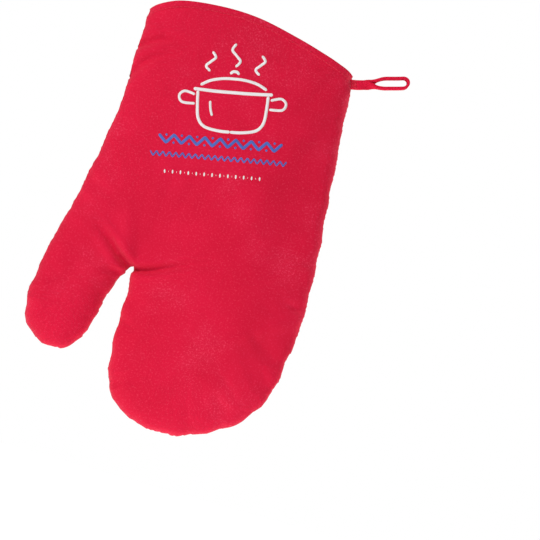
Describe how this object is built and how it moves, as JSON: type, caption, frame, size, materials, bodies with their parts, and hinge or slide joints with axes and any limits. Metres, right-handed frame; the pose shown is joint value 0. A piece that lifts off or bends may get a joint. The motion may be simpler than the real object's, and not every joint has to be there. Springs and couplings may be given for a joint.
{
  "type": "oven mitt",
  "caption": "Padded cloth oven mitt with a plain back, a quilted palm, a thumb, an open cuff and a hanging loop of tape.",
  "frame": {"origin": "centre of the cuff's open mouth, on the seam plane", "axes": "+Z out of the cuff along the forearm (fingers point to -Z), +Y out of the quilted palm, thumb on -X"},
  "size_m": [0.2422, 0.0333, 0.3311],
  "materials": {
    "red_twill": "matt cotton twill",
    "wadding": "soft fibre",
    "lining_cloth": "matt plain weave",
    "loop_tape": "matt folded tape",
    "thread": "matt thread",
    "print_white": "matt screen print",
    "print_blue": "matt screen print"
  },
  "bodies": {
    "hand": {"back_cloth_hand": "red_twill", "back_lining_hand": "lining_cloth", "back_wadding_hand": "wadding", "binding_stitching_palm": "thread", "cuff_binding_palm": "red_twill", "cuff_hem_back": "red_twill", "hem_stitching_back": "thread", "loop_bar_tack": "thread", "palm_cloth_hand": "red_twill", "palm_lining_hand": "lining_cloth", "palm_wadding_hand": "wadding", "quilting_falling_hand_1": "thread", "quilting_falling_hand_2": "thread", "quilting_falling_hand_3": "thread", "quilting_falling_hand_4": "thread", "quilting_falling_hand_5": "thread", "quilting_rising_hand_1": "thread", "quilting_rising_hand_2": "thread", "quilting_rising_hand_3": "thread", "quilting_rising_hand_4": "thread", "quilting_rising_hand_5": "thread"},
    "thumb": {"back_cloth_thumb": "red_twill", "back_lining_thumb": "lining_cloth", "back_wadding_thumb": "wadding", "palm_cloth_thumb": "red_twill", "palm_lining_thumb": "lining_cloth", "palm_wadding_thumb": "wadding", "quilting_falling_thumb_1": "thread", "quilting_falling_thumb_2": "thread", "quilting_rising_thumb_1": "thread", "quilting_rising_thumb_2": "thread"},
    "fingers": {"back_cloth_fingers": "red_twill", "back_lining_fingers": "lining_cloth", "back_wadding_fingers": "wadding", "palm_cloth_fingers": "red_twill", "palm_lining_fingers": "lining_cloth", "palm_wadding_fingers": "wadding", "quilting_falling_fingers_1": "thread", "quilting_falling_fingers_2": "thread", "quilting_falling_fingers_3": "thread", "quilting_rising_fingers_1": "thread", "quilting_rising_fingers_2": "thread"},
    "loop": {"hanging_loop": "loop_tape"}
  },
  "joints": [
    {"name": "thumb_close", "type": "hinge", "parent": "hand", "child": "thumb", "pos_m": [-0.0406, 0.0175, -0.21], "axis": [0.7045, 0, -0.7097], "range_deg": [0, 45], "stiffness_Nm_per_rad": 0.2},
    {"name": "fingers_curl", "type": "hinge", "parent": "hand", "child": "fingers", "pos_m": [0.029, 0.0175, -0.21], "axis": [1, 0, 0], "range_deg": [0, 60], "stiffness_Nm_per_rad": 0.3},
    {"name": "loop_swing", "type": "hinge", "parent": "hand", "child": "loop", "pos_m": [0.0876, 0, -0.0256], "axis": [0, 1, 0], "range_deg": [-60, 50]}
  ]
}
